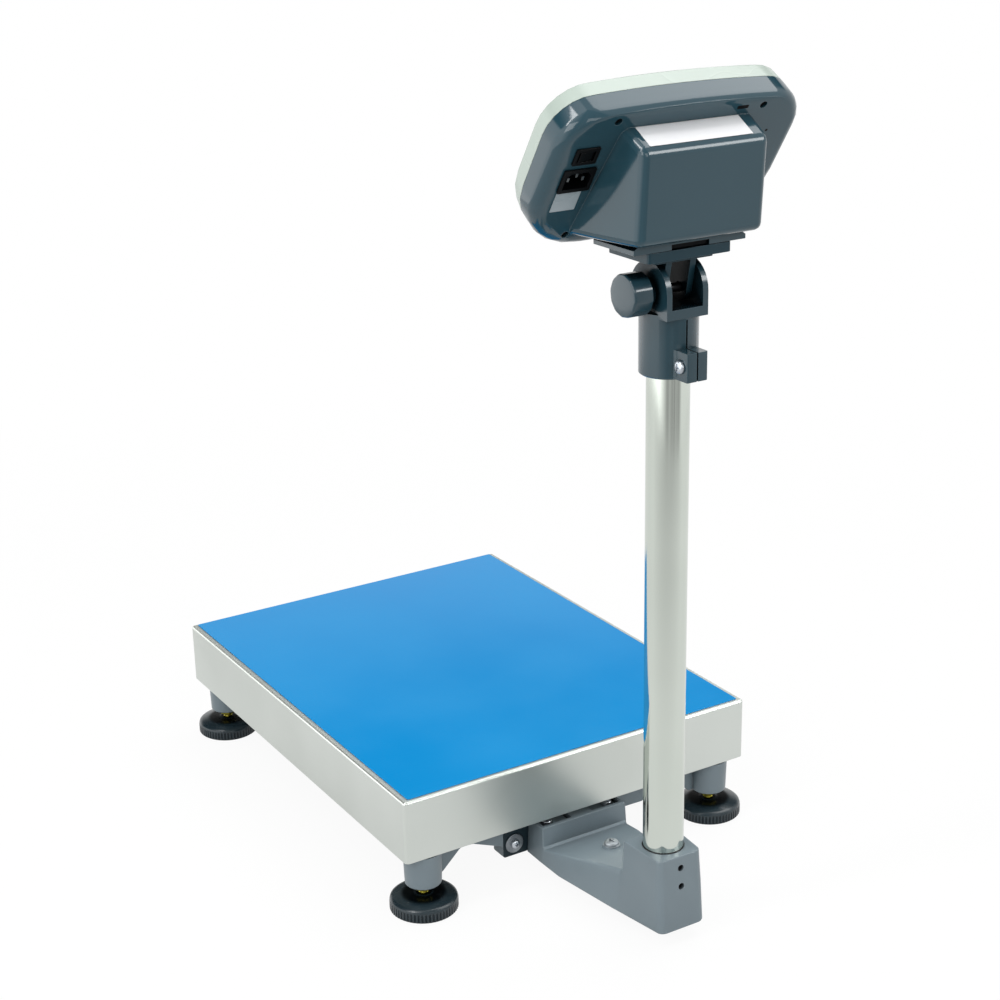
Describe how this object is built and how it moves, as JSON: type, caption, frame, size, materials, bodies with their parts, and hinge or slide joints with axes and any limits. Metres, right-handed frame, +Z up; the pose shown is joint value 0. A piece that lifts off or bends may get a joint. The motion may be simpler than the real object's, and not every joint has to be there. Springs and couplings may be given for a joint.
{
  "type": "platform scale",
  "caption": "Bench platform scale: a stainless tray on levelling feet, with a rear column carrying a swivelling, tilting indicator.",
  "frame": {"origin": "on the floor, at the centre of the bounding box's footprint", "axes": "+Z up; the user stands at -Y and the column is at +Y; +X is the side of the tilt knob, the switch and the mains inlet"},
  "size_m": [0.4096, 0.6965, 0.7979],
  "materials": {
    "brushed_stainless": "brushed stainless sheet",
    "polished_stainless": "polished stainless tube",
    "blue_film": "satin blue cover film",
    "painted_casting": "smooth grey paint on a casting",
    "machined_aluminium": "machined and cast aluminium",
    "black_plastic": "black moulded plastic",
    "rubber": "black rubber",
    "yellow_zinc": "yellow zinc plate",
    "zinc_plate": "bright zinc plate",
    "slate_plastic": "glossy slate plastic",
    "bracket_plastic": "dark slate plastic, satin",
    "pale_plastic": "pale plastic, satin",
    "window_plastic": "clear plastic",
    "display_glass": "display glass",
    "key_film": "printed key film",
    "board_green": "green circuit board",
    "battery_case": "dark battery case"
  },
  "bodies": {
    "base": {"lower_frame": "painted_casting", "column_bracket": "painted_casting", "bracket_bolt_1": "zinc_plate", "bracket_bolt_2": "zinc_plate", "bracket_screw": "zinc_plate", "frame_washer": "zinc_plate", "frame_screw": "zinc_plate", "column_set_screw_1": "zinc_plate", "column_set_screw_2": "zinc_plate", "column_tube": "polished_stainless", "bubble_level": "window_plastic", "load_cell": "machined_aluminium", "cell_bolt_top_1": "zinc_plate", "cell_bolt_top_2": "zinc_plate", "cell_bolt_bottom_1": "zinc_plate", "cell_bolt_bottom_2": "zinc_plate", "upper_frame": "machined_aluminium", "overload_stop_1": "zinc_plate", "overload_stop_2": "zinc_plate", "overload_stop_3": "zinc_plate", "overload_stop_4": "zinc_plate", "tray_pad_1": "rubber", "tray_pad_2": "rubber", "tray_pad_3": "rubber", "tray_pad_4": "rubber", "foot_nut_1": "yellow_zinc", "foot_nut_2": "yellow_zinc", "foot_nut_3": "yellow_zinc", "foot_nut_4": "yellow_zinc"},
    "tray": {"load_tray": "brushed_stainless", "tray_mat": "blue_film"},
    "swivel": {"column_collar": "bracket_plastic", "collar_screw": "zinc_plate", "collar_nut": "zinc_plate", "tilt_nut": "zinc_plate"},
    "knob": {"tilt_knob": "bracket_plastic"},
    "indicator": {"tilt_bracket": "bracket_plastic", "slide_plate": "bracket_plastic", "rear_shell": "slate_plastic", "front_shell": "pale_plastic", "display_window": "window_plastic", "display_module": "display_glass", "keypad": "key_film", "switch_housing": "black_plastic", "mains_inlet": "black_plastic", "main_board": "board_green", "battery": "battery_case", "transformer": "battery_case"},
    "rocker": {"switch_rocker": "black_plastic"},
    "foot_1": {"foot_pad_1": "black_plastic", "foot_stud_1": "yellow_zinc"},
    "foot_2": {"foot_pad_2": "black_plastic", "foot_stud_2": "yellow_zinc"},
    "foot_3": {"foot_pad_3": "black_plastic", "foot_stud_3": "yellow_zinc"},
    "foot_4": {"foot_pad_4": "black_plastic", "foot_stud_4": "yellow_zinc"}
  },
  "joints": [
    {"name": "tray_lift", "type": "slide", "parent": "base", "child": "tray", "axis": [0, 0, 1], "range_m": [0, 0.08]},
    {"name": "column_swivel", "type": "hinge", "parent": "base", "child": "swivel", "pos_m": [0, 0.29815, 0.57], "axis": [0, 0, 1], "range_deg": [-170, 170]},
    {"name": "indicator_tilt", "type": "hinge", "parent": "swivel", "child": "indicator", "pos_m": [0, 0.29815, 0.6175], "axis": [1, 0, 0], "range_deg": [-30, 40]},
    {"name": "knob_turn", "type": "hinge", "parent": "swivel", "child": "knob", "pos_m": [0.035, 0.29815, 0.6175], "axis": [1, 0, 0], "range_deg": [-180, 180]},
    {"name": "rocker_tip", "type": "hinge", "parent": "indicator", "child": "rocker", "pos_m": [0.0915, 0.30902, 0.74043], "axis": [0, 0.5519, 0.8339], "range_deg": [0, 14]},
    {"name": "foot_1_height", "type": "slide", "parent": "base", "child": "foot_1", "axis": [0, 0, -1], "range_m": [-0.003, 0.012]},
    {"name": "foot_2_height", "type": "slide", "parent": "base", "child": "foot_2", "axis": [0, 0, -1], "range_m": [-0.003, 0.012]},
    {"name": "foot_3_height", "type": "slide", "parent": "base", "child": "foot_3", "axis": [0, 0, -1], "range_m": [-0.003, 0.012]},
    {"name": "foot_4_height", "type": "slide", "parent": "base", "child": "foot_4", "axis": [0, 0, -1], "range_m": [-0.003, 0.012]}
  ]
}
